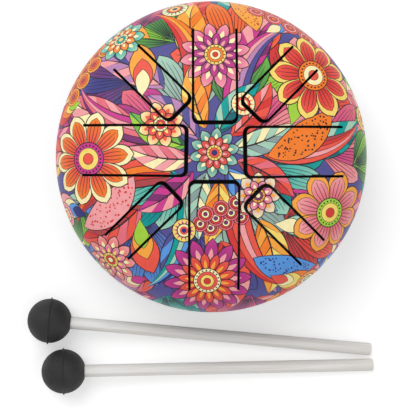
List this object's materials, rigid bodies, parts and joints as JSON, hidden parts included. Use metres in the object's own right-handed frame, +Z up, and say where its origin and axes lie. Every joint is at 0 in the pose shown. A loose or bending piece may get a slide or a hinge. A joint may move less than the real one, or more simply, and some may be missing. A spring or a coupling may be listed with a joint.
{
  "type": "steel tongue drum",
  "caption": "Small domed steel tongue drum with printed shell, tuned tongues cut in its top, a sound hole and rubber feet below, and rubber-headed wooden mallets.",
  "frame": {"origin": "where the drum's vertical axis meets the floor that it stands on", "axes": "+Z up along the drum's axis, -Y towards the player and the mallets, +X to the player's right"},
  "size_m": [0.2361, 0.2597, 0.106],
  "materials": {
    "painted_shell": "satin multicoloured print over baked enamel, bare edge in the cuts",
    "black_enamel": "satin black enamel",
    "black_rubber": "matt moulded rubber",
    "greyed_wood": "pale grey-washed hardwood, fine straight grain"
  },
  "bodies": {
    "drum": {"top_shell": "painted_shell", "bottom_shell": "black_enamel", "seam_weld": "black_enamel", "foot_1": "black_rubber", "foot_2": "black_rubber", "foot_3": "black_rubber"},
    "tongue_east": {"tongue_east": "painted_shell"},
    "tongue_north_east": {"tongue_north_east": "painted_shell"},
    "tongue_north": {"tongue_north": "painted_shell"},
    "tongue_north_west": {"tongue_north_west": "painted_shell"},
    "tongue_west": {"tongue_west": "painted_shell"},
    "tongue_south_west": {"tongue_south_west": "painted_shell"},
    "tongue_south": {"tongue_south": "painted_shell"},
    "tongue_south_east": {"tongue_south_east": "painted_shell"},
    "mallet_1": {"mallet_1_stick": "greyed_wood", "mallet_1_head": "black_rubber"},
    "mallet_2": {"mallet_2_stick": "greyed_wood", "mallet_2_head": "black_rubber"}
  },
  "joints": [
    {"name": "tongue_east_flex", "type": "hinge", "parent": "drum", "child": "tongue_east", "pos_m": [0.08128, 0.00202, 0.08786], "axis": [-0.0175, 0.9998, 0], "range_deg": [-0.5, 0.5], "stiffness_Nm_per_rad": 81.6},
    {"name": "tongue_north_east_flex", "type": "hinge", "parent": "drum", "child": "tongue_north_east", "pos_m": [0.058, 0.06007, 0.08641], "axis": [-0.7193, 0.6947, 0], "range_deg": [-0.5, 0.5], "stiffness_Nm_per_rad": 69.9},
    {"name": "tongue_north_flex", "type": "hinge", "parent": "drum", "child": "tongue_north", "pos_m": [0.0019, 0.0778, 0.08972], "axis": [-1, 0, 0], "range_deg": [-0.5, 0.5], "stiffness_Nm_per_rad": 74},
    {"name": "tongue_north_west_flex", "type": "hinge", "parent": "drum", "child": "tongue_north_west", "pos_m": [-0.05303, 0.06039, 0.0884], "axis": [-0.7071, -0.7071, 0], "range_deg": [-0.5, 0.5], "stiffness_Nm_per_rad": 70.9},
    {"name": "tongue_west_flex", "type": "hinge", "parent": "drum", "child": "tongue_west", "pos_m": [-0.07966, 0.00289, 0.08877], "axis": [-0.0175, -0.9998, 0], "range_deg": [-0.5, 0.5], "stiffness_Nm_per_rad": 78.5},
    {"name": "tongue_south_west_flex", "type": "hinge", "parent": "drum", "child": "tongue_south_west", "pos_m": [-0.05885, -0.05711, 0.08742], "axis": [0.6947, -0.7193, 0], "range_deg": [-0.5, 0.5], "stiffness_Nm_per_rad": 67.2},
    {"name": "tongue_south_flex", "type": "hinge", "parent": "drum", "child": "tongue_south", "pos_m": [0.0014, -0.0836, 0.08633], "axis": [1, 0, 0], "range_deg": [-0.5, 0.5], "stiffness_Nm_per_rad": 74.6},
    {"name": "tongue_south_east_flex", "type": "hinge", "parent": "drum", "child": "tongue_south_east", "pos_m": [0.0628, -0.0605, 0.08342], "axis": [0.6947, 0.7193, 0], "range_deg": [-0.5, 0.5], "stiffness_Nm_per_rad": 65.2},
    {"name": "mallet_1_lift", "type": "slide", "parent": "drum", "child": "mallet_1", "axis": [0, 0, 1], "range_m": [0, 0.2]},
    {"name": "mallet_2_lift", "type": "slide", "parent": "drum", "child": "mallet_2", "axis": [0, 0, 1], "range_m": [0, 0.2]}
  ]
}
